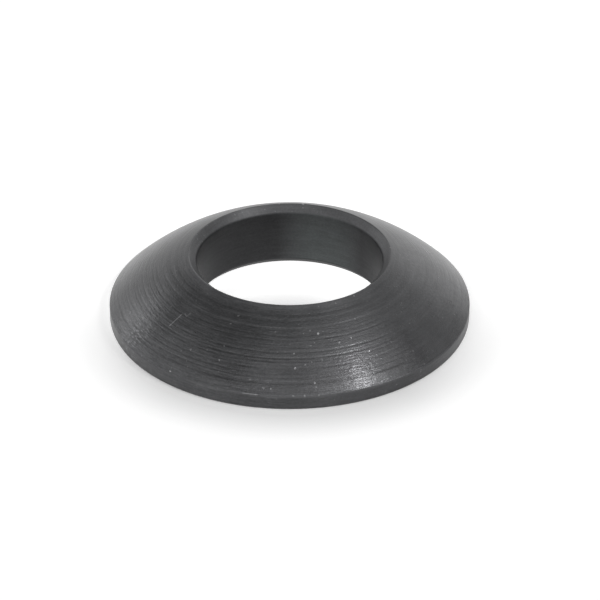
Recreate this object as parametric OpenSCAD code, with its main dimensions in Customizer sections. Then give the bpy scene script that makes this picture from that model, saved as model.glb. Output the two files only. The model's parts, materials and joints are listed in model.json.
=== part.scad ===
// Spherical washer, turned in one piece from steel bar.
// A flat seat below bears on the clamped work, and a spherical seat above lets a nut
// or a bolt's head settle square to the thread. The bolt passes through the middle.
// The flat seat lies on Z = 0, and the bolt's axis is Z.

/* [Washer] */
// Outside diameter of the rim
outer_d = 21; // [14:0.5:29]
// Diameter of the bolt hole
bore_d = 10.75; // [5:0.05:17]
// Radius of the spherical seat
sphere_r = 15; // [11:0.5:40]
// Height of the rim, from the flat seat to the edge of the spherical seat
rim_h = 0.8; // [0.3:0.05:4]

/* [Edges] */
// Width of the chamfer at the top of the bolt hole, out from the hole's wall
top_chamfer_w = 0.47; // [0.1:0.01:1.5]
// Depth of the chamfer at the top of the bolt hole, along the hole's wall
top_chamfer_h = 0.39; // [0.1:0.01:1.5]
// Leg of the 45 degree chamfer at the bottom of the bolt hole
low_chamfer = 0.47; // [0.1:0.01:1.5]
// Break on the rim's two edges, measured along the rim
edge_break = 0.1; // [0.02:0.01:0.14]

/* [Hidden] */
$fn = 180;

// Height of blank left over the crown, for the spherical cut to take off
stock = 0.2;

outer_r = outer_d / 2;
bore_r = bore_d / 2;

// The crown is the ring where the spherical seat ends at the bolt hole's chamfer
crown_r = bore_r + top_chamfer_w;

// The sphere's centre lies under the washer, where its surface meets the rim at rim_h
sphere_z = rim_h - sqrt(sphere_r ^ 2 - outer_r ^ 2);

// Height of the spherical seat at a radius from the bolt's axis
function seat_z(r) = sphere_z + sqrt(sphere_r ^ 2 - r ^ 2);

crown_z = seat_z(crown_r);
blank_z = crown_z + stock;

// The break at the rim's upper edge turns half as far as the seat does there
seat_slope = asin(outer_r / sphere_r);
break_lean = (90 - seat_slope) / 2;

// Radius at which each sloping cut runs out of the top of the blank
break_exit_r = outer_r - (blank_z - rim_h + edge_break) * tan(break_lean);
chamfer_exit_r = crown_r + stock * top_chamfer_w / top_chamfer_h;

// Half section of the blank: bored, chamfered and edged, with its top still over height
module blank_section() {
    polygon([
        [bore_r + low_chamfer, 0],
        [outer_r - edge_break, 0],
        [outer_r, edge_break],
        [outer_r, rim_h - edge_break],
        [break_exit_r, blank_z],
        [chamfer_exit_r, blank_z],
        [bore_r, crown_z - top_chamfer_h],
        [bore_r, low_chamfer]
    ]);
}

// The spherical cut brings the blank down to the seat, from the rim up to the crown
module washer_section() {
    intersection() {
        blank_section();
        translate([0, sphere_z]) circle(r = sphere_r);
    }
}

module spherical_washer() {
    color("#4a4b4d") rotate_extrude() washer_section();
}

spherical_washer();
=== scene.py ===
# %% [markdown]
# A spherical washer is turned from steel bar and then blackened. Its flat face bears on the work,
# and its convex face is part of a sphere, so a nut on it can lean and still sit fully. The packed
# solid is loaded first, because the sizes below start from it.

# %% the frame and its box
import json
import math
import random

import bmesh
import bpy
from mathutils import Matrix, Vector

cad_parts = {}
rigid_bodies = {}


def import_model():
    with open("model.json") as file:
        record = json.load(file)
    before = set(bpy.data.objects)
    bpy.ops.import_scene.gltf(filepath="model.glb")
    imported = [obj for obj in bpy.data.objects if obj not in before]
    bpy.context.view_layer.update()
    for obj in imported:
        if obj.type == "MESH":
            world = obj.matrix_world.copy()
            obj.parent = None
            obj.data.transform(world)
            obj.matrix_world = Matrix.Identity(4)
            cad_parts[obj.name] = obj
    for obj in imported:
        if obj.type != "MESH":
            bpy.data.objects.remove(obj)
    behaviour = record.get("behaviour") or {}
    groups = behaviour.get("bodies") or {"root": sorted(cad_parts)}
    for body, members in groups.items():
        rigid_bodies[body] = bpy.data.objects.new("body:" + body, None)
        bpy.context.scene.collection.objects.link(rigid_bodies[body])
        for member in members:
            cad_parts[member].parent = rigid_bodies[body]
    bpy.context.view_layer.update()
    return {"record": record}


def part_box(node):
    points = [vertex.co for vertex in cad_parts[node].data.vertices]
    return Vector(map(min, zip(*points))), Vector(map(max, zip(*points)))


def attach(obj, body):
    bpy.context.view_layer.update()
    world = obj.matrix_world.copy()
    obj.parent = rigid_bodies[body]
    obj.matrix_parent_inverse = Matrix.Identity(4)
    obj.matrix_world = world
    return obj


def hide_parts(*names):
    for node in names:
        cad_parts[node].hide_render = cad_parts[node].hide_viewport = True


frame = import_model()

# %% [markdown]
# The outside, the height and the hole come from the solid. What its box can't tell is named here
# as a size of the washer: the sphere's radius, the rim's height, and the chamfers of the hole. The
# rim and the chamfers follow the edges in the photograph, within a tenth of a millimetre of the solid.

# %% sizes
MM = 0.001
UM = 0.000001
WASHER = "spherical_washer"

mounts = {mount["name"]: mount for mount in frame["record"]["mounts"]}
OUTER_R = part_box(WASHER)[1].x
CROWN_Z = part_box(WASHER)[1].z
BORE_R = mounts["bolt_hole"]["dims"]["r_mm"] * MM

SPHERE_R = 15.0 * MM
RIM_H = 0.82 * MM
TOP_CHAMFER_W = 0.47 * MM
TOP_CHAMFER_H = 0.42 * MM
LOW_CHAMFER = 0.40 * MM

CROWN_R = BORE_R + TOP_CHAMFER_W
SPHERE_Z = RIM_H - math.sqrt(SPHERE_R**2 - OUTER_R**2)
print("outside", OUTER_R * 2 / MM, "hole", BORE_R * 2 / MM, "crown", CROWN_Z / MM)

# %% [markdown]
# A turned part is its half section, carried once round the axis. The section starts as a few
# points. The spherical face is one point swung about the sphere's centre, which leaves a chain
# of short edges behind it, so that the turning marks can later be cut into real geometry. A short
# run at each end of it stays plain, for the rounding of its edges.

# %% half section
PLAIN_RUN = 0.12 * MM
DOME_STEPS = 250

section = bmesh.new()
sphere_centre = Vector((0.0, 0.0, SPHERE_Z))


def corner(radius, height):
    """A corner of the half section."""
    return section.verts.new((radius, 0.0, height))


def swing(vertex, turn, steps):
    """Carries a point up the sphere towards the crown and gives the point that it ends on."""
    swung = bmesh.ops.spin(
        section, geom=[vertex], cent=sphere_centre, axis=(0.0, -1.0, 0.0), angle=turn, steps=steps
    )
    return swung["geom_last"][0]


rim_turn = math.asin(OUTER_R / SPHERE_R)
crown_turn = math.asin(CROWN_R / SPHERE_R)
plain_turn = PLAIN_RUN / SPHERE_R
marked_turn = rim_turn - crown_turn - 2 * plain_turn

base_in = corner(BORE_R + LOW_CHAMFER, 0.0)
rim_low = corner(OUTER_R, 0.0)
rim_high = corner(OUTER_R, RIM_H)
crown = swing(swing(swing(rim_high, plain_turn, 1), marked_turn, DOME_STEPS), plain_turn, 1)
bore_high = corner(BORE_R, CROWN_Z - TOP_CHAMFER_H)
bore_low = corner(BORE_R, LOW_CHAMFER)

for chain in ((base_in, rim_low, rim_high), (crown, bore_high, bore_low, base_in)):
    for start, end in zip(chain, chain[1:]):
        section.edges.new((start, end))
print("half section:", len(section.verts), "points")

# %% [markdown]
# No real edge is perfectly sharp. A vertex bevel turns each corner of the section into a small
# arc. The rim's upper edge knocks against things most, so each corner also keeps a share of wear,
# which later says how easily the black is rubbed off there.

# %% rounded edges
RIM_ROUND = 0.03 * MM
CROWN_ROUND = 0.04 * MM
BORE_ROUND = 0.09 * MM
FOOT_ROUND = 0.085 * MM
ROUND_STEPS = 3

rounds = [
    (RIM_ROUND, {rim_high: 1.0}),
    (FOOT_ROUND, {rim_low: 0.3}),
    (CROWN_ROUND, {crown: 0.7, base_in: 0.2}),
    (BORE_ROUND, {bore_high: 0.0, bore_low: 0.0}),
]
worn_edges = [(v.co.copy(), reach, wear) for reach, edges in rounds for v, wear in edges.items()]
for reach, edges in rounds:
    bmesh.ops.bevel(
        section,
        geom=list(edges),
        offset=reach,
        segments=ROUND_STEPS,
        profile=0.5,
        affect="VERTICES",
        material=-1,
    )
print("rounded section:", len(section.verts), "points")

# %% [markdown]
# The lathe leaves rings wherever its tool passed. A few deep ones give the spherical face its
# drawn lines, and many fine ones give it its satin. They are cut into the section as shallow
# dips of a few thousandths of a millimetre, before it is carried round. Beside a deep ring the
# tool throws up a lip, which is painted brighter as a painted highlight. Each list gives the
# distance from the axis in millimetres, the depth or height in thousandths of a millimetre, and the half
# width.

# %% turning marks
DEEP_RINGS = [
    (6.54, 1.6, 0.10),
    (6.90, 2.0, 0.13),
    (7.34, 1.0, 0.08),
    (7.67, 2.6, 0.08),
    (7.91, 3.0, 0.06),
    (8.15, 1.3, 0.06),
    (8.31, 2.0, 0.07),
    (8.54, 2.6, 0.07),
    (8.84, 3.2, 0.07),
    (9.00, 3.0, 0.05),
    (9.32, 3.2, 0.07),
    (9.53, 2.0, 0.06),
    (9.73, 2.3, 0.05),
    (9.98, 3.2, 0.08),
]
LIPS = [
    (6.72, 0.8, 0.07),
    (7.22, 0.8, 0.08),
    (7.84, 0.7, 0.06),
    (8.46, 0.8, 0.07),
    (8.76, 1.3, 0.06),
    (8.92, 0.6, 0.04),
    (9.09, 0.6, 0.05),
    (9.24, 0.8, 0.06),
    (9.46, 0.5, 0.06),
    (9.66, 0.7, 0.05),
    (9.84, 0.5, 0.05),
    (10.25, 0.3, 0.10),
]
UNEVEN_SPACING = (0.7, 1.3)
UNEVEN_DEPTH = (0.2, 1.0)
UNEVEN_WIDTH = (0.4, 0.8)


def fine_marks(start, end, spacing, deepest, seed):
    """Shallow marks at uneven places between two places in millimetres."""
    draw = random.Random(seed)
    count = int((end - start) / spacing)
    places = [start + spacing * draw.uniform(*UNEVEN_SPACING) * i for i in range(count)]
    marks = []
    for place in places:
        depth = deepest * draw.uniform(*UNEVEN_DEPTH)
        marks.append((place, depth, spacing * draw.uniform(*UNEVEN_WIDTH)))
    return marks


def depth_at(place, marks):
    """How deep a list of marks cuts at a place, in metres."""
    near = [(abs(place / MM - middle) / half, deep) for middle, deep, half in marks]
    return sum(deep * (1 + math.cos(math.pi * away)) / 2 for away, deep in near if away < 1) * UM


dome_marks = fine_marks(CROWN_R / MM, OUTER_R / MM, spacing=0.09, deepest=1.6, seed=3)
base_marks = fine_marks(CROWN_R / MM, OUTER_R / MM, spacing=0.16, deepest=2.0, seed=5)
bore_marks = fine_marks(0.0, CROWN_Z / MM, spacing=0.16, deepest=0.5, seed=7)
rim_marks = fine_marks(0.0, RIM_H / MM, spacing=0.10, deepest=0.5, seed=9)
print("rings on the spherical face:", len(DEEP_RINGS), "deep and", len(dome_marks), "fine")

# %% [markdown]
# The straight runs are cut into short steps first, so that there are points to move. Three
# values go with each point for the finish to read: how worn it is as an edge, how much it is a
# lip (above 0) or a ring (below 0), and how plainly the tool's marks show on its face.

# %% cutting the marks
MARK_STEP = 0.05 * MM
CLOSE = 0.5 * UM
ROUND_SLACK = 1.01
DEEPEST_RING = 3.2 * UM
HIGHEST_LIP = 1.3 * UM
RING_SHARE = 0.5
CROWN_TOOLING, RIM_EDGE_TOOLING = 0.6, 1.25
BASE_TOOLING, RIM_TOOLING, BORE_TOOLING, CHAMFER_TOOLING = 0.8, 0.3, 0.0, 0.4

for run in [e for e in section.edges if e.calc_length() > 2 * MARK_STEP]:
    cuts = int(run.calc_length() / MARK_STEP)
    bmesh.ops.subdivide_edges(section, edges=[run], cuts=cuts)


def wear_at(spot):
    """The share of wear of the rounded edge that a spot lies on, or 0."""
    on_it = [wear for place, reach, wear in worn_edges if (spot - place).length < ROUND_SLACK * reach]
    return max(on_it, default=0.0)


edge_share = section.verts.layers.float.new("edge")
ring_share = section.verts.layers.float.new("ring")
tool_share = section.verts.layers.float.new("tooling")
for v in section.verts:
    from_centre = v.co - sphere_centre
    v[edge_share] = wear_at(v.co)
    v[tool_share] = CHAMFER_TOOLING
    if abs(from_centre.length - SPHERE_R) < CLOSE and v.co.z > RIM_H:
        ring_depth = depth_at(v.co.x, DEEP_RINGS)
        lip_height = depth_at(v.co.x, LIPS)
        v[ring_share] = lip_height / HIGHEST_LIP - RING_SHARE * ring_depth / DEEPEST_RING
        down_dome = (v.co.x - CROWN_R) / (OUTER_R - CROWN_R)
        v[tool_share] = CROWN_TOOLING + (RIM_EDGE_TOOLING - CROWN_TOOLING) * down_dome
        v.co -= from_centre.normalized() * (ring_depth - lip_height + depth_at(v.co.x, dome_marks))
    elif abs(v.co.z) < CLOSE:
        v[tool_share] = BASE_TOOLING
        v.co.z += depth_at(v.co.x, base_marks)
    elif abs(v.co.x - BORE_R) < CLOSE:
        v[tool_share] = BORE_TOOLING
        v.co.x += depth_at(v.co.z, bore_marks)
    elif abs(v.co.x - OUTER_R) < CLOSE:
        v[tool_share] = RIM_TOOLING
        v.co.x -= depth_at(v.co.z, rim_marks)
print("marked section:", len(section.verts), "points")

# %% [markdown]
# A full spin about the bolt's axis makes the body, and its first and last rows are merged.

# %% the turned body
TURN_STEPS = 192
MERGE_DISTANCE = 0.1 * UM

bmesh.ops.spin(
    section,
    geom=section.verts[:] + section.edges[:],
    cent=(0.0, 0.0, 0.0),
    axis=(0.0, 0.0, 1.0),
    angle=math.tau,
    steps=TURN_STEPS,
    use_merge=True,
)
bmesh.ops.remove_doubles(section, verts=section.verts, dist=MERGE_DISTANCE)
print("turned body:", len(section.verts), "points")

# %% [markdown]
# The rim is not quite even: at the front right it is about a tenth of a millimetre lower, as if that
# side had been rubbed down. The points of the spherical face are lowered there, most at the rim and
# less and less towards the crown, and the rim's wall is pressed down with them.

# %% the low side of the rim
LOW_ANGLE = 58.0
LOW_SPAN = 34.0
LOW_DROP = 0.10 * MM


def heading(angle):
    """The way out from the axis at an angle in degrees, from the front towards the right."""
    turn = math.radians(angle)
    return Vector((math.sin(turn), -math.cos(turn), 0.0))


def drop(out, from_axis):
    """How far the spherical face is lowered, by the way out from the axis and the distance from it."""
    down_dome = max(0.0, (from_axis - CROWN_R) / (OUTER_R - CROWN_R))
    span_end = math.cos(math.radians(LOW_SPAN))
    side = max(0.0, (out.dot(heading(LOW_ANGLE)) - span_end) / (1 - span_end))
    return LOW_DROP * down_dome**2 * side


for v in section.verts:
    level = Vector((v.co.x, v.co.y, 0.0))
    up_rim = min(1.0, v.co.z / RIM_H)
    v.co.z -= up_rim * drop(level.normalized(), level.length)
lowest_rim = RIM_H - LOW_DROP
print("rim:", round(RIM_H / MM, 3), "mm,", round(lowest_rim / MM, 3), "mm at its lowest")

# %% [markdown]
# The normals are worked out again, because a spin can leave a shape inside out. Then the mesh
# becomes an object at the origin, which rides on the frame's root and stands in for the solid.

# %% the body's mesh
bmesh.ops.recalc_face_normals(section, faces=section.faces)
for face in section.faces:
    face.smooth = True

body_mesh = bpy.data.meshes.new("washer_body")
section.to_mesh(body_mesh)
section.free()
washer = bpy.data.objects.new("washer_body", body_mesh)
bpy.context.scene.collection.objects.link(washer)
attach(washer, "root")
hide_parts(WASHER)
print("body:", sum(len(face.vertices) - 2 for face in body_mesh.polygons), "triangles")

# %% [markdown]
# A node material is a small sum, written as boxes and wires. These helpers keep the sums short:
# each one adds a node, fills its inputs with plain values or wires, and hands back its result.

# %% helpers for materials
def material(name):
    """An empty material and its node tree."""
    made = bpy.data.materials.new(name)
    made.use_nodes = True
    made.node_tree.nodes.clear()
    return made, made.node_tree


def add(tree, kind, inputs=None, **settings):
    """A node with its settings, where each input is a plain value or another node's output."""
    made = tree.nodes.new(kind)
    for name, value in settings.items():
        setattr(made, name, value)
    for name, value in (inputs or {}).items():
        if isinstance(value, bpy.types.NodeSocket):
            tree.links.new(value, made.inputs[name])
        else:
            made.inputs[name].default_value = value
    return made


def calc(tree, operation, *values):
    """A sum on plain numbers."""
    return add(tree, "ShaderNodeMath", dict(enumerate(values)), operation=operation).outputs["Value"]


def product(tree, first, *others):
    """Several factors multiplied together."""
    for other in others:
        first = calc(tree, "MULTIPLY", first, other)
    return first


def vector(tree, operation, *values, **named):
    """A sum on vectors that gives a vector."""
    inputs = {**dict(enumerate(values)), **named}
    return add(tree, "ShaderNodeVectorMath", inputs, operation=operation).outputs["Vector"]


def dot(tree, first, second):
    """How far one vector runs along another."""
    inputs = {0: first, 1: second}
    return add(tree, "ShaderNodeVectorMath", inputs, operation="DOT_PRODUCT").outputs["Value"]


def length(tree, value):
    """The length of a vector."""
    return add(tree, "ShaderNodeVectorMath", {0: value}, operation="LENGTH").outputs["Value"]


def remap(tree, value, low, high, to_low, to_high, easing="LINEAR"):
    """A value stretched from one span to another, held at the ends."""
    spans = {"Value": value, "From Min": low, "From Max": high, "To Min": to_low, "To Max": to_high}
    return add(tree, "ShaderNodeMapRange", spans, interpolation_type=easing).outputs["Result"]


def mix(tree, share, first, second):
    """Two colours mixed. A Mix node keeps its colour inputs and its colour result at these places."""
    share_at, first_at, second_at, result_at = 0, 6, 7, 2
    inputs = {share_at: share, first_at: first, second_at: second}
    return add(tree, "ShaderNodeMix", inputs, data_type="RGBA").outputs[result_at]


# %% [markdown]
# Every mark on this washer either runs round the axis or lies at a spot on it. So the finish reads
# Object coordinates in millimetres, and from them the distance from the axis and the way out from
# it. The three values that were kept with the points come in as attributes.

# %% the washer's own coordinates
BORE_MM = BORE_R / MM
CROWN_MM = CROWN_R / MM
OUTER_MM = OUTER_R / MM

steel, tree = material("blackened_steel")
object_place = add(tree, "ShaderNodeTexCoord").outputs["Object"]
in_mm = vector(tree, "SCALE", object_place, Scale=1 / MM)
across_axis = vector(tree, "MULTIPLY", in_mm, (1.0, 1.0, 0.0))
radius = length(tree, across_axis)
outward = vector(tree, "NORMALIZE", across_axis)
height = add(tree, "ShaderNodeSeparateXYZ", {0: in_mm}).outputs["Z"]
ring = add(tree, "ShaderNodeAttribute", attribute_name="ring").outputs["Fac"]
edge = add(tree, "ShaderNodeAttribute", attribute_name="edge").outputs["Fac"]
tooling = add(tree, "ShaderNodeAttribute", attribute_name="tooling").outputs["Fac"]
print("steel from", round(BORE_MM, 3), "mm to", round(OUTER_MM, 3), "mm from the axis")

# %% [markdown]
# These helpers work on the steel alone. A side is given by its angle from the front in degrees,
# then by the degrees round it within which it is full, and those beyond which it is gone. A span
# is four numbers: where a value starts and ends, and what it turns into at the start and the end.

# %% helpers for the steel
NOISE_LOW, NOISE_HIGH = 0.3, 0.7


def near_heading(angle, full, none):
    """1 within some degrees of an angle, fading to 0 further round."""
    facing = dot(tree, outward, heading(angle))
    return remap(tree, facing, math.cos(math.radians(none)), math.cos(math.radians(full)), 0.0, 1.0)


def share_between(share, low, high):
    """A share from 0 to 1, stretched between two values."""
    return remap(tree, share, 0.0, 1.0, low, high)


def mix_value(share, first, second):
    """A value between two others, each of them plain or worked out."""
    step = calc(tree, "SUBTRACT", second, first)
    return calc(tree, "MULTIPLY_ADD", share, step, first)


def streaks(along, across, detail, shift):
    """Noise drawn out round the axis: a low number along the turning, a high one across it."""
    turned = vector(tree, "SCALE", outward, Scale=along)
    out = calc(tree, "MULTIPLY", radius, across)
    up = calc(tree, "MULTIPLY_ADD", height, across, shift)
    where = vector(tree, "ADD", turned, add(tree, "ShaderNodeCombineXYZ", {"Z": out}).outputs["Vector"])
    spans = {"Vector": where, "W": up, "Scale": 1.0, "Detail": detail}
    return add(tree, "ShaderNodeTexNoise", spans, noise_dimensions="4D").outputs["Fac"]


def speckle(scale, detail):
    """Even noise, with about this many grains to a millimetre."""
    inputs = {"Vector": in_mm, "Scale": scale, "Detail": detail}
    return add(tree, "ShaderNodeTexNoise", inputs).outputs["Fac"]


def spread(noise, amount):
    """A factor that a noise moves up and down about 1, by at most this amount."""
    return remap(tree, noise, NOISE_LOW, NOISE_HIGH, 1.0 - amount, 1.0 + amount)


# %% [markdown]
# Blackened steel is a thin dark oxide over turned metal. Its colour shifts a little with the marks
# under it and with the bath it was dipped in. A few noises stand for that. The drawn-out ones have
# a number along the turning, one across it, a detail, and a shift that sets them apart. The even
# ones, for the oxide's grain and its clouds, have a scale and a detail.

# %% noises in the oxide
LONG_STREAKS = (2.5, 5.0, 2.0, 0.0)
DRAWN_LINES = (7.0, 13.0, 1.0, 40.0)
SHORT_LINES = (36.0, 13.0, 1.0, 120.0)
RING_BREAKS = (5.0, 3.0, 1.0, 80.0)
GRAIN = (9.0, 1.5)
MOTTLE = (0.9, 3.0)

long_streaks = streaks(*LONG_STREAKS)
drawn_lines = streaks(*DRAWN_LINES)
short_lines = streaks(*SHORT_LINES)
ring_breaks = streaks(*RING_BREAKS)
grain = speckle(*GRAIN)
mottle = speckle(*MOTTLE)
print("oxide's noises:", len(tree.nodes), "nodes so far")

# %% [markdown]
# The lips of the rings are painted lighter and the rings between them darker: a painted highlight
# and painted shade of their slopes. A little of it shows all round, and most on three sides where
# the lamps light them: the front left, the bright patch at the front right, and the left. Round the
# axis they break off here and there.

# %% painted highlight and shade of the rings
FRONT_SHEEN_ANGLE = -22.0
HIGHLIGHT_ANGLE = 24.0
FRONT_SHEEN_SIDE = (FRONT_SHEEN_ANGLE, 18.0, 34.0)
HIGHLIGHT_SIDE = (HIGHLIGHT_ANGLE, 8.0, 20.0)
LEFT_SIDE = (-62.0, 14.0, 30.0)
BROKEN_SPAN = (0.35, 0.6, 0.3, 1.3)

broken = remap(tree, ring_breaks, *BROKEN_SPAN)
front_sheen_side = near_heading(*FRONT_SHEEN_SIDE)
highlight_side = near_heading(*HIGHLIGHT_SIDE)
left_side = near_heading(*LEFT_SIDE)


def ring_contrast(plain, left, at_front_sheen, at_highlight):
    """How strongly the rings' painted highlight and shade show: a little all round, more on three sides.
    """
    most = share_between(front_sheen_side, plain, at_front_sheen)
    most = calc(tree, "MAXIMUM", most, calc(tree, "MULTIPLY", left_side, left))
    return calc(tree, "MAXIMUM", most, calc(tree, "MULTIPLY", highlight_side, at_highlight))


# Lips painted lighter and rings painted darker: the painted highlight and shade of their slopes.
lip = calc(tree, "MAXIMUM", ring, 0.0)
lip = product(tree, lip, broken, ring_contrast(plain=0.06, left=0.24, at_front_sheen=0.42, at_highlight=0.34))
groove = calc(tree, "MAXIMUM", calc(tree, "MULTIPLY", ring, -1 / RING_SHARE), 0.0)
groove = product(tree, groove, broken, ring_contrast(plain=0.04, left=0.24, at_front_sheen=0.30, at_highlight=0.34))
ring_factor = calc(tree, "SUBTRACT", calc(tree, "ADD", lip, 1.0), groove)
print("oxide with its rings:", len(tree.nodes), "nodes so far")

# %% [markdown]
# Some bands of the spherical face are painted paler: painted glints near the rim on the left, a
# painted highlight on the outer band beside the bright patch, two broad paler bands at the front and
# the left, and a painted sheen in clouds on the right flank. Each one lies on a side and in a span of
# distances from the axis, and adds to the shade there.

# %% painted sheen and paler bands
GLINT_LINES = (0.53, 0.66, 0.0, 0.7)
GLINT_BAND = (8.9, 9.3, 0.0, 1.0)
GLINT_SIDE = (-61.0, 2.0, 6.0)
OUTER_BAND = (10.02, 10.10, 0.0, 0.18)
OUTER_SIDE = (20.0, 6.0, 18.0)
FRONT_BAND = (9.3, 10.0, 0.0, 0.10)
FRONT_SIDE = (-20.0, 20.0, 45.0)
LEFT_BAND = (9.2, 10.0, -0.03, 0.05)
LEFT_BAND_SIDE = (-82.0, 10.0, 24.0)
CLOUDS = (1.7, 2.0)
CLOUD_SHADE = (0.35, 0.65, -0.05, 0.16)
CLOUD_BAND = (6.2, 6.6, 0.0, 1.0)
CLOUD_SIDE = (94.0, 8.0, 22.0)


def band_on_side(span, side, *shares):
    """A band by its span of distances from the axis and its side, thinned out by other shares."""
    return product(tree, remap(tree, radius, *span), near_heading(*side), *shares)


# Each band is painted paler: painted glints, a painted highlight, two paler bands, and painted sheen in
# clouds.
paler_bands = [
    band_on_side(GLINT_BAND, GLINT_SIDE, remap(tree, short_lines, *GLINT_LINES)),
    band_on_side(OUTER_BAND, OUTER_SIDE),
    band_on_side(FRONT_BAND, FRONT_SIDE),
    band_on_side(LEFT_BAND, LEFT_BAND_SIDE),
    band_on_side(CLOUD_BAND, CLOUD_SIDE, remap(tree, speckle(*CLOUDS), *CLOUD_SHADE)),
]
for paler_band in paler_bands:
    ring_factor = calc(tree, "ADD", ring_factor, paler_band)
print("rubbed bands:", len(paler_bands))

# %% [markdown]
# The edge of the crown is painted paler along the front, a painted highlight. The chamfer inside
# it is painted paler than the spherical face, a painted sheen that is strongest at the back right,
# with painted shade at the back left and a pale cloud of painted sheen there. Both are told from
# the rest by their distance from the axis.

# %% crown and chamfer
CROWN_SHEEN = 0.6
CROWN_SHEEN_OUT, CROWN_SHEEN_FADE, CROWN_SHEEN_IN = 0.18, 0.5, 0.12
CROWN_SHEEN_SIDE = (FRONT_SHEEN_ANGLE, 15.0, 75.0)
CHAMFER_FADE = 0.06
CHAMFER_SHADES = (1.15, 1.35)
CHAMFER_PALE_SIDE = (150.0, 15.0, 40.0)
CHAMFER_DARKER = -0.08
CHAMFER_DARK_SIDE = (226.0, 33.0, 48.0)
CHAMFER_SHEEN_CLOUDS = (2.2, 2.0)
CHAMFER_SHEEN_SPAN = (0.42, 0.60, 0.0, 0.13)
CHAMFER_SHEEN_SIDE = (209.0, 5.0, 12.0)
BORE_EDGE = (BORE_MM + 0.02, BORE_MM + 0.10)

in_bore = remap(tree, radius, *BORE_EDGE, 1.0, 0.0)
out_of_bore = calc(tree, "SUBTRACT", 1.0, in_bore)
# The edge of the crown is painted paler along the front: a painted highlight.
crown_sheen_start = CROWN_MM + CROWN_SHEEN_OUT
outside_sheen = remap(tree, radius, crown_sheen_start, crown_sheen_start + CROWN_SHEEN_FADE, CROWN_SHEEN, 0.0)
inside_sheen = remap(tree, radius, CROWN_MM - CROWN_SHEEN_IN, CROWN_MM, 0.0, CROWN_SHEEN)
crown_sheen = calc(tree, "MINIMUM", outside_sheen, inside_sheen)
crown_sheen = product(tree, crown_sheen, near_heading(*CROWN_SHEEN_SIDE))

on_chamfer = remap(tree, radius, CROWN_MM - CHAMFER_FADE, CROWN_MM, 1.0, 0.0)
# The chamfer is painted paler and darker by side, with a pale cloud: painted sheen and shade.
chamfer_shade = share_between(near_heading(*CHAMFER_PALE_SIDE), *CHAMFER_SHADES)
chamfer_dark = near_heading(*CHAMFER_DARK_SIDE)
chamfer_shade = calc(tree, "MULTIPLY_ADD", chamfer_dark, CHAMFER_DARKER, chamfer_shade)
chamfer_sheen = remap(tree, speckle(*CHAMFER_SHEEN_CLOUDS), *CHAMFER_SHEEN_SPAN)
chamfer_sheen = product(tree, chamfer_sheen, near_heading(*CHAMFER_SHEEN_SIDE), out_of_bore)
chamfer_shade = calc(tree, "ADD", chamfer_shade, chamfer_sheen)
crown_factor = calc(tree, "ADD", crown_sheen, mix_value(on_chamfer, 1.0, chamfer_shade))
print("chamfer from", round(BORE_MM, 3), "mm to", round(CROWN_MM, 3), "mm from the axis")

# %% [markdown]
# The rim's wall is painted a little paler on the left and at the front right, a painted sheen. The
# fine lines of the tool are real, and painted with most contrast at the front left, where the light
# shows them most. With the streaks, the clouds and the grain these are the factors that make up the
# shade of the oxide.

# %% rim and fine lines
RIM_EDGE = (OUTER_MM - 0.07, OUTER_MM - 0.03)
RIM_SHADES = (1.02, 1.32)
RIM_PALE_SIDE = (-75.0, 10.0, 62.0)
RIM_RIGHT_PALER = 0.14
RIM_RIGHT_SIDE = (62.0, 12.0, 28.0)
LINE_CONTRASTS = (0.2, 0.6)
LINE_SIDE = (-38.0, 32.0, 58.0)
STREAK_SPREAD, MOTTLE_SPREAD, GRAIN_SPREAD = 0.08, 0.07, 0.07

on_rim = remap(tree, radius, *RIM_EDGE, 0.0, 1.0)
# The rim's wall is painted paler on the left and the front right: a painted sheen.
rim_shade = share_between(near_heading(*RIM_PALE_SIDE), *RIM_SHADES)
rim_shade = calc(tree, "MULTIPLY_ADD", near_heading(*RIM_RIGHT_SIDE), RIM_RIGHT_PALER, rim_shade)
rim_factor = mix_value(on_rim, 1.0, rim_shade)

fine_lines = calc(tree, "SUBTRACT", calc(tree, "ADD", drawn_lines, short_lines), 1.0)
# The tool's fine lines are painted with more contrast at the front left, where the light shows them.
line_contrast = share_between(near_heading(*LINE_SIDE), *LINE_CONTRASTS)
line_factor = calc(tree, "MULTIPLY_ADD", fine_lines, line_contrast, 1.0)
shade = product(
    tree,
    ring_factor,
    crown_factor,
    rim_factor,
    line_factor,
    spread(long_streaks, STREAK_SPREAD),
    spread(mottle, MOTTLE_SPREAD),
    spread(grain, GRAIN_SPREAD),
)
print("shade of the oxide:", len(tree.nodes), "nodes so far")

# %% [markdown]
# The bore is painted darkest, a painted shade inside the hole. Part of its far wall is painted paler
# and a little green, a painted reflection, less so near the top. The chamfer at its foot is painted
# darker still, a painted shade.

# %% bore
OXIDE = (0.0755, 0.0760, 0.0787)
BORE_SHEEN_TINT = (0.96, 1.03, 1.00)
BORE_SHEEN_SIDE = (158.0, 8.0, 30.0)
BORE_SHEEN_SPAN = (2.0, 3.2, 1.0, 0.75)
BORE_SHADES = (0.50, 0.90)
FOOT_SHADE, FOOT_FADE, FOOT_REACH = 0.36, 0.12, 0.2

# Part of the bore's far wall is painted paler and a little green: a painted reflection.
bore_sheen = product(tree, near_heading(*BORE_SHEEN_SIDE), remap(tree, height, *BORE_SHEEN_SPAN))
# The bore is painted darker than the rest: a painted shade inside the hole.
bore_factor = mix_value(in_bore, 1.0, share_between(bore_sheen, *BORE_SHADES))
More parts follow.
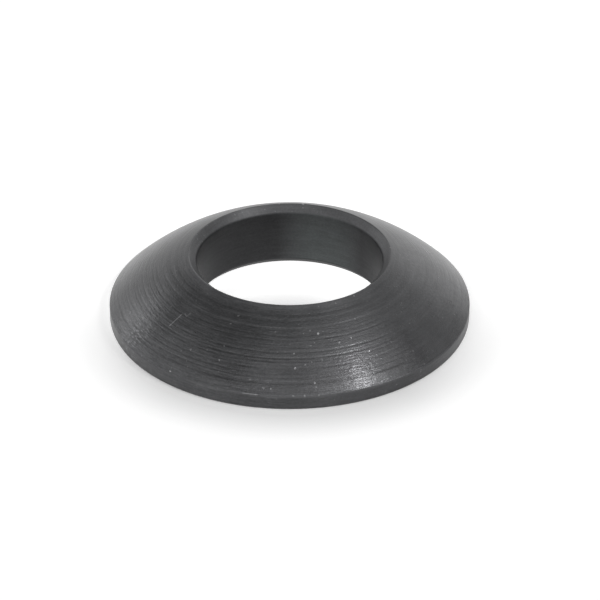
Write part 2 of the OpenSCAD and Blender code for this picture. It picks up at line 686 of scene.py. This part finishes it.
# The chamfer at the bore's foot is painted darker still: a painted shade.
at_foot = product(
    tree,
    remap(tree, height, LOW_CHAMFER / MM, LOW_CHAMFER / MM + FOOT_FADE, 1.0, 0.0),
    remap(tree, radius, CROWN_MM, CROWN_MM + FOOT_REACH, 1.0, 0.0),
)
bore_factor = calc(tree, "MINIMUM", bore_factor, share_between(at_foot, 1.0, FOOT_SHADE))
shade = product(tree, shade, bore_factor)
plain_oxide = vector(tree, "SCALE", OXIDE, Scale=shade)
sheened_oxide = vector(tree, "MULTIPLY", plain_oxide, BORE_SHEEN_TINT)
oxide = mix(tree, calc(tree, "MULTIPLY", bore_sheen, in_bore), plain_oxide, sheened_oxide)
print("oxide:", len(tree.nodes), "nodes so far")

# %% [markdown]
# Where something has knocked the part, the oxide has chipped and bare steel shows as a bright
# fleck. The plain ones are listed one by one: the angle from the front, the distance from the axis in
# millimetres, the size, and how bare the steel is. A noise makes their outlines ragged.

# %% flecks
FLECKS = [
    (12.0, 7.63, 0.08, 1.0),
    (29.5, 8.97, 0.07, 0.75),
    (37.2, 5.98, 0.08, 0.9),
    (8.0, 9.95, 0.08, 0.9),
    (8.2, 10.13, 0.07, 0.6),
    (1.8, 9.25, 0.08, 0.8),
    (5.4, 9.13, 0.07, 0.45),
    (28.0, 9.97, 0.06, 0.6),
    (24.8, 8.13, 0.07, 0.7),
    (19.5, 8.25, 0.07, 0.5),
    (30.2, 7.23, 0.07, 0.45),
    (51.8, 8.58, 0.06, 0.35),
    (46.5, 10.40, 0.07, 0.4),
    (-24.5, 6.85, 0.09, 0.55),
    (-6.0, 7.45, 0.08, 0.3),
    (-26.3, 7.39, 0.08, 0.5),
    (-25.2, 8.57, 0.07, 0.5),
    (-36.8, 9.22, 0.08, 0.5),
    (-25.0, 9.27, 0.08, 0.6),
    (-39.8, 10.40, 0.08, 0.8),
    (1.5, 8.58, 0.07, 0.6),
    (-8.2, 10.17, 0.08, 0.5),
    (-5.8, 10.19, 0.08, 0.5),
    (1.0, 10.45, 0.07, 0.5),
    (4.5, 10.47, 0.08, 0.7),
    (8.8, 10.47, 0.08, 0.6),
    (-10.4, 10.47, 0.07, 0.7),
    (172.3, 5.88, 0.13, 0.9),
    (186.1, 5.86, 0.09, 0.7),
]
FLECK_CORE, FLECK_END = 0.2, 0.85
WOBBLE_SCALE, WOBBLE_DETAIL, WOBBLE_REACH = 14.0, 1.0, 0.16
NOISE_MIDDLE = (0.5, 0.5, 0.5)

wobble_inputs = {"Vector": in_mm, "Scale": WOBBLE_SCALE, "Detail": WOBBLE_DETAIL}
wobble = add(tree, "ShaderNodeTexNoise", wobble_inputs).outputs["Color"]
wobble = vector(tree, "SUBTRACT", wobble, NOISE_MIDDLE)
ragged = vector(tree, "ADD", in_mm, vector(tree, "SCALE", wobble, Scale=WOBBLE_REACH))


def on_dome(angle, place):
    """A spot on the spherical face in millimetres, by angle from the front and distance from the axis."""
    out = heading(angle)
    rise = SPHERE_Z / MM + math.sqrt((SPHERE_R / MM) ** 2 - place**2) - drop(out, place * MM) / MM
    return out * place + Vector((0.0, 0.0, rise))


def fleck(angle, place, size, bareness):
    """How bare a fleck is, from its middle to nothing at its edge."""
    away = length(tree, vector(tree, "SUBTRACT", ragged, on_dome(angle, place)))
    return remap(tree, away, FLECK_CORE * size, FLECK_END * size, bareness, 0.0)


bare = 0.0
for angle, place, size, bareness in FLECKS:
    bare = calc(tree, "MAXIMUM", bare, fleck(angle, place, size, bareness))
print("flecks set by hand:", len(FLECKS))

# %% [markdown]
# There are far more fine flecks than a hand can set. A texture of uneven cells makes them, one at the
# middle of each cell, and a slow noise lets them show in patches.

# %% fine flecks
FINE_FLECKS = 3.0
FINE_SPAN = (0.06, 0.16, 1.0, 0.0)
PATCHES = (0.45, 2.0)
PATCH_SPAN = (0.45, 0.62, 0.05, 0.30)

cells = add(tree, "ShaderNodeTexVoronoi", {"Vector": ragged, "Scale": FINE_FLECKS})
patches = remap(tree, speckle(*PATCHES), *PATCH_SPAN)
fine = remap(tree, cells.outputs["Distance"], *FINE_SPAN)
fine = product(tree, fine, patches, out_of_bore)
bare = calc(tree, "MAXIMUM", bare, fine)
print("fine flecks:", FINE_FLECKS, "to a millimetre")

# %% [markdown]
# One short scratch crosses the rings on the left, with a small V-shaped nick beside it, and one
# longer knock lies along the rim's upper edge. Each is a line between two spots, given like those of
# the flecks, with its half width and its bareness. The shader asks how far a point is from that line.

# %% scratches
SCRATCHES = [
    ((-51.0, 8.70), (-50.0, 7.94), 0.045, 0.36),
    ((-49.0, 7.80), (-47.3, 7.90), 0.05, 0.18),
    ((-47.3, 7.90), (-46.8, 7.65), 0.05, 0.18),
    ((-14.3, 10.47), (-9.8, 10.47), 0.04, 0.4),
]
SCRATCH_CORE = 0.3


def scratch(start, end, half_width, bareness):
    """How bare a straight scratch between two spots is."""
    first = on_dome(*start)
    run = on_dome(*end) - first
    offset = vector(tree, "SUBTRACT", in_mm, first)
    share = remap(tree, dot(tree, offset, run), 0.0, run.length_squared, 0.0, 1.0)
    nearest = vector(tree, "SCALE", run, Scale=share)
    away = length(tree, vector(tree, "SUBTRACT", offset, nearest))
    return remap(tree, away, SCRATCH_CORE * half_width, half_width, bareness, 0.0)


for start, end, half_width, bareness in SCRATCHES:
    bare = calc(tree, "MAXIMUM", bare, scratch(start, end, half_width, bareness))
print("scratches:", len(SCRATCHES))

# %% [markdown]
# The rounded edges have lost their black in a few patches, thinly along the front, and thinly all
# round the crown. The share of wear that each edge keeps scales this.

# %% worn edges
WEAR_CLOUDS = (2.6, 2.0)
WEAR_SPAN = (0.66, 0.74, 0.0, 0.35)
FRONT_WEAR = 0.06
FRONT_WEAR_SIDE = (0.0, 20.0, 45.0)
CROWN_WEAR, CROWN_WEAR_REACH = 0.08, 0.2

worn = remap(tree, speckle(*WEAR_CLOUDS), *WEAR_SPAN)
front_wear = share_between(near_heading(*FRONT_WEAR_SIDE), 0.0, FRONT_WEAR)
crown_wear = remap(tree, radius, CROWN_MM, CROWN_MM + CROWN_WEAR_REACH, CROWN_WEAR, 0.0)
for more_wear in (front_wear, crown_wear):
    worn = calc(tree, "MAXIMUM", worn, more_wear)
bare = calc(tree, "MAXIMUM", bare, calc(tree, "MULTIPLY", worn, edge))
print("worn edges:", sum(wear > 0 for _, _, wear in worn_edges))

# %% [markdown]
# The turning is also in the bump, as heights in thousandths of a millimetre, so the light breaks up
# on it as it does on the real part.

# %% bump
LONG_STREAK_UM = 10.0
DRAWN_LINE_UM = 7.0
SHORT_LINE_UM = 12.0
GRAIN_UM = 4.0

turned_height = calc(tree, "MULTIPLY", long_streaks, LONG_STREAK_UM)
turned_height = calc(tree, "MULTIPLY_ADD", drawn_lines, DRAWN_LINE_UM, turned_height)
turned_height = calc(tree, "MULTIPLY_ADD", short_lines, SHORT_LINE_UM, turned_height)
turned_height = calc(tree, "MULTIPLY", turned_height, tooling)
bump_height = calc(tree, "MULTIPLY_ADD", grain, GRAIN_UM, turned_height)
bump_inputs = {"Height": bump_height, "Distance": UM, "Strength": 1.0}
bump = add(tree, "ShaderNodeBump", bump_inputs).outputs["Normal"]
print("bump:", len(tree.nodes), "nodes so far")

# %% [markdown]
# Oxide and bare steel are mixed by what has been knocked off. The polished side of the spherical
# face is the smoothest, and the chamfer, the rim and the bore are duller. The anisotropy runs round
# the axis, as the turning does.

# %% blackened steel
BARE_STEEL = (0.42, 0.42, 0.43, 1.0)
FACE_ROUGHNESS = (6.3, 8.6, 0.33, 0.29)
MOTTLE_ROUGHNESS = 0.02
POLISHED_BAND = (8.0, 9.5, 0.0, 1.0)
POLISHED_FLANK = (HIGHLIGHT_ANGLE, 25.0, 50.0)
POLISHED_ROUGHER, CHAMFER_ROUGHER, BORE_ROUGHER, RIM_ROUGHER = -0.05, 0.12, 0.09, 0.11

rough = remap(tree, mottle, NOISE_LOW, NOISE_HIGH, -MOTTLE_ROUGHNESS, MOTTLE_ROUGHNESS)
rough = calc(tree, "ADD", remap(tree, radius, *FACE_ROUGHNESS), rough)
for place, rougher in (
    (band_on_side(POLISHED_BAND, POLISHED_FLANK), POLISHED_ROUGHER),
    (on_chamfer, CHAMFER_ROUGHER),
    (calc(tree, "MAXIMUM", in_bore, at_foot), BORE_ROUGHER),
    (on_rim, RIM_ROUGHER),
):
    rough = calc(tree, "MULTIPLY_ADD", place, rougher, rough)

surface = add(
    tree,
    "ShaderNodeBsdfPrincipled",
    {
        "Base Color": mix(tree, bare, oxide, BARE_STEEL),
        "Metallic": 0.9,
        "Roughness": rough,
        "Anisotropic": 0.2,
        "Anisotropic Rotation": 0.25,
        "Normal": bump,
        "Tangent": add(tree, "ShaderNodeTangent", direction_type="RADIAL", axis="Z").outputs["Tangent"],
    },
)
add(tree, "ShaderNodeOutputMaterial", {"Surface": surface.outputs["BSDF"]})
washer.data.materials.append(steel)
print("blackened steel:", len(tree.nodes), "nodes")

# %% [markdown]
# The washer lies on white paper, a wide flat sheet just under its seat.

# %% floor
FLOOR_HALF = 2.0
FLOOR_DROP = 10 * UM

floor_mesh = bpy.data.meshes.new("floor")
sheet = bmesh.new()
bmesh.ops.create_grid(sheet, x_segments=1, y_segments=1, size=FLOOR_HALF)
bmesh.ops.translate(sheet, verts=sheet.verts, vec=(0.0, 0.0, -FLOOR_DROP))
sheet.to_mesh(floor_mesh)
sheet.free()
floor = bpy.data.objects.new("floor", floor_mesh)
bpy.context.scene.collection.objects.link(floor)
print("floor:", 2 * FLOOR_HALF, "m square")

# %% [markdown]
# The paper takes the washer's shadow as a plain diffuse sheet. Away from the washer it glows a
# little, so that it ends up white, and more behind the washer. In front the glow is held back up to a
# few millimetres from the rim, which paints that shadow deeper and longer. Beside the rim on the left
# and the right the glow paints the paper lighter. Places on the paper are in millimetres.

# %% paper outside the washer
FULL_GLOW = 0.33
SHADOW_SPAN = (10.9, 14.2, 1.0, 0.28)
BEHIND_SPAN = (-0.80, 0.12, 0.0, 1.0)
BEHIND_FADE = (11.3, 14.0, 1.0, 0.8)
RIM_SPAN = (10.5, 11.1, 1.0, 0.0)
RIM_LEFT_GLOW = (-9.0, -10.8, 0.0, 0.18)
RIM_RIGHT_GLOW = (0.0, 8.0, 0.10, 0.03)

paper, paper_tree = material("white_paper")
paper_place = add(paper_tree, "ShaderNodeTexCoord").outputs["Object"]
paper_place = vector(paper_tree, "SCALE", paper_place, Scale=1 / MM)
paper_r = length(paper_tree, paper_place)
paper_parts = add(paper_tree, "ShaderNodeSeparateXYZ", {0: paper_place}).outputs
across, along = paper_parts["X"], paper_parts["Y"]

# Holding the glow back in front paints the washer's shadow there deeper and longer.
in_shadow = remap(paper_tree, paper_r, *SHADOW_SPAN, "SMOOTHSTEP")
behind = remap(paper_tree, calc(paper_tree, "DIVIDE", along, paper_r), *BEHIND_SPAN)
behind = product(paper_tree, behind, remap(paper_tree, paper_r, *BEHIND_FADE))
in_shadow = product(paper_tree, in_shadow, calc(paper_tree, "SUBTRACT", 1.0, behind))
outside = calc(paper_tree, "MULTIPLY", calc(paper_tree, "SUBTRACT", 1.0, in_shadow), FULL_GLOW)
# Beside the rim on the left and the right, the glow paints the paper lighter.
left_glow = remap(paper_tree, across, *RIM_LEFT_GLOW)
right_glow = remap(paper_tree, across, *RIM_RIGHT_GLOW)
rim_glow = calc(paper_tree, "ADD", left_glow, right_glow)
outside = calc(paper_tree, "MULTIPLY_ADD", remap(paper_tree, paper_r, *RIM_SPAN), rim_glow, outside)
print("paper outside the washer:", len(paper_tree.nodes), "nodes")

# %% [markdown]
# Seen through the hole, the paper is painted white at the back and the right by a glow that rises
# from the front to the back, and to the right. Along the front wall it leaves a painted shade, in a
# soft curve that follows the wall.

# %% paper in the hole
HOLE_BEND = 0.07
HOLE_RISE = (-2.5, 2.2, 0.0, 1.0)
HOLE_GLOW = 0.5
HOLE_BACK = (3.0, 6.0, 0.0, 0.40)
HOLE_RIGHT = (0.5, 4.5, 0.0, 0.18)

bend = product(paper_tree, across, across)
from_front = calc(paper_tree, "MULTIPLY_ADD", bend, HOLE_BEND, along)
# The glow paints the hole's paper white at the back and the right, leaving a painted shade along the
# front wall.
rising = remap(paper_tree, from_front, *HOLE_RISE)
in_hole = product(paper_tree, rising, rising, HOLE_GLOW)
back_glow = remap(paper_tree, from_front, *HOLE_BACK, "SMOOTHSTEP")
side_glow = remap(paper_tree, across, *HOLE_RIGHT, "SMOOTHSTEP")
for more_glow in (back_glow, side_glow):
    in_hole = calc(paper_tree, "ADD", in_hole, more_glow)
print("paper with its hole:", len(paper_tree.nodes), "nodes")

# %% [markdown]
# The two glows meet under the washer, where nobody sees the paper. Only the eye, reflections and
# clear things see the glow.

# %% white paper
PAPER = (0.84, 0.84, 0.84, 1.0)
UNDER_WASHER_R = 8.0

is_outside = calc(paper_tree, "GREATER_THAN", paper_r, UNDER_WASHER_R)
is_hole = calc(paper_tree, "SUBTRACT", 1.0, is_outside)
glow = calc(paper_tree, "MULTIPLY", outside, is_outside)
glow = calc(paper_tree, "MULTIPLY_ADD", in_hole, is_hole, glow)
rays = add(paper_tree, "ShaderNodeLightPath").outputs
seen = calc(paper_tree, "MAXIMUM", rays["Is Camera Ray"], rays["Is Glossy Ray"])
seen = calc(paper_tree, "MAXIMUM", seen, rays["Is Transmission Ray"])
lit = add(paper_tree, "ShaderNodeBsdfDiffuse", {"Color": PAPER})
glowing = add(paper_tree, "ShaderNodeEmission", {"Strength": calc(paper_tree, "MULTIPLY", seen, glow)})
both = add(paper_tree, "ShaderNodeAddShader", {0: lit.outputs[0], 1: glowing.outputs[0]})
add(paper_tree, "ShaderNodeOutputMaterial", {"Surface": both.outputs[0]})
floor.data.materials.append(paper)
print("white paper:", len(paper_tree.nodes), "nodes")

# %% [markdown]
# A light tent stands round the washer: white at the sides, a little dimmer at the horizon, and dim
# overhead, which is what keeps the crown of the washer dark. The heights go from 0 at the horizon to
# 1 straight up.

# %% light tent
HORIZON_BRIGHTNESS = 0.82
SIDE_BRIGHTNESS = 0.97
TOP_BRIGHTNESS = 0.45
SIDE_FROM, SIDE_FULL = 0.08, 0.32
TOP_FROM, TOP_FULL = 0.50, 0.62

scene = bpy.context.scene
scene.view_settings.view_transform = "Standard"
tent = bpy.data.worlds.new("tent")
scene.world = tent
tent.use_nodes = True
tent_tree = tent.node_tree
tent_tree.nodes.clear()
look_way = add(tent_tree, "ShaderNodeTexCoord").outputs["Generated"]
rise = add(tent_tree, "ShaderNodeSeparateXYZ", {0: look_way}).outputs["Z"]
sides = remap(tent_tree, rise, SIDE_FROM, SIDE_FULL, HORIZON_BRIGHTNESS, SIDE_BRIGHTNESS)
top = remap(tent_tree, rise, TOP_FROM, TOP_FULL, SIDE_BRIGHTNESS, TOP_BRIGHTNESS)
brightness = calc(tent_tree, "MINIMUM", sides, top)
back = add(tent_tree, "ShaderNodeBackground", {"Strength": brightness})
add(tent_tree, "ShaderNodeOutputWorld", {"Surface": back.outputs[0]})
print("tent:", SIDE_BRIGHTNESS, "at the sides and", TOP_BRIGHTNESS, "overhead")

# %% [markdown]
# Soft boxes stand in the tent. On dark polished metal the eye sees the lamps themselves, so each
# one is placed for the sheen that it makes: the small key lamp for the bright patch at the front
# right, the left lamp for the satin on the left, and the low boxes behind for the pale flanks.
# A lamp is given by its direction, by how wide and tall it looks from the washer in degrees, and
# by its brightness, where 1 is white paper.

# %% lamps
LAMP_DISTANCE = 0.3


def lamp(name, around, up, wide, tall, brightness, shape="RECTANGLE"):
    """A lamp that faces the washer; angles in degrees, from the front and from the floor."""
    rise = math.radians(up)
    stand = heading(around) * math.cos(rise) + Vector((0.0, 0.0, math.sin(rise)))
    light = bpy.data.lights.new(name, "AREA")
    light.shape = shape
    light.size = 2 * LAMP_DISTANCE * math.tan(math.radians(wide) / 2)
    light.size_y = 2 * LAMP_DISTANCE * math.tan(math.radians(tall) / 2)
    fill = math.pi / 4 if shape == "ELLIPSE" else 1.0
    light.energy = brightness * math.pi * light.size * light.size_y * fill
    holder = bpy.data.objects.new(name, light)
    facing = stand.to_track_quat("Z", "Y").to_matrix().to_4x4()
    holder.matrix_world = Matrix.Translation(stand * LAMP_DISTANCE) @ facing
    holder.visible_camera = False
    scene.collection.objects.link(holder)


lamp("key_lamp", around=59, up=50.5, wide=9, tall=9, brightness=16.2, shape="ELLIPSE")
lamp("key_side_lamp", around=74, up=47, wide=16, tall=14, brightness=0.8, shape="ELLIPSE")
lamp("key_box", around=63, up=50, wide=46, tall=40, brightness=0.82)
lamp("front_box", around=-10, up=42, wide=50, tall=26, brightness=0.75)
lamp("front_left_box", around=-76, up=44, wide=52, tall=26, brightness=0.52)
lamp("left_box", around=-115, up=20, wide=40, tall=26, brightness=0.66)
lamp("left_lamp", around=-125, up=22, wide=10, tall=10, brightness=1.8)
lamp("back_left_box", around=-149, up=13, wide=32, tall=22, brightness=0.30)
lamp("back_right_box", around=156, up=16, wide=42, tall=28, brightness=0.58)
lamp("top_right_box", around=132, up=53, wide=40, tall=40, brightness=0.42)
lamp("top_box", around=24, up=74, wide=50, tall=34, brightness=0.62)
print("lamps:", len(bpy.data.lights))

# %% [markdown]
# The camera stands where the photograph was taken from: in front, about a third of the way up to
# overhead, and far enough off that the far side of the washer looks little smaller than the near one.

# %% camera
CAMERA_DISTANCE = 150.758 * MM
CAMERA_ELEVATION = math.radians(31.3115)
CAMERA_ROLL = math.radians(0.113)
AIM_RIGHT = 0.604 * MM
AIM_UP = 0.611 * MM
SENSOR = 36.0
LENS = 154.45
NEAREST_SEEN = 1 * MM

eye = CAMERA_DISTANCE * Vector((0.0, -math.cos(CAMERA_ELEVATION), math.sin(CAMERA_ELEVATION)))
picture_up = Vector((0.0, math.sin(CAMERA_ELEVATION), math.cos(CAMERA_ELEVATION)))
aim = Vector((AIM_RIGHT, 0.0, 0.0)) + picture_up * AIM_UP

camera_data = bpy.data.cameras.new("camera")
camera_data.sensor_width = SENSOR
camera_data.lens = LENS
camera_data.clip_start = NEAREST_SEEN
camera = bpy.data.objects.new("camera", camera_data)
looking = (aim - eye).to_track_quat("-Z", "Y").to_matrix().to_4x4()
camera.matrix_world = Matrix.Translation(eye) @ looking @ Matrix.Rotation(CAMERA_ROLL, 4, "Z")
scene.collection.objects.link(camera)
scene.camera = camera
print("camera:", round(eye.length / MM, 1), "mm from the washer's origin")
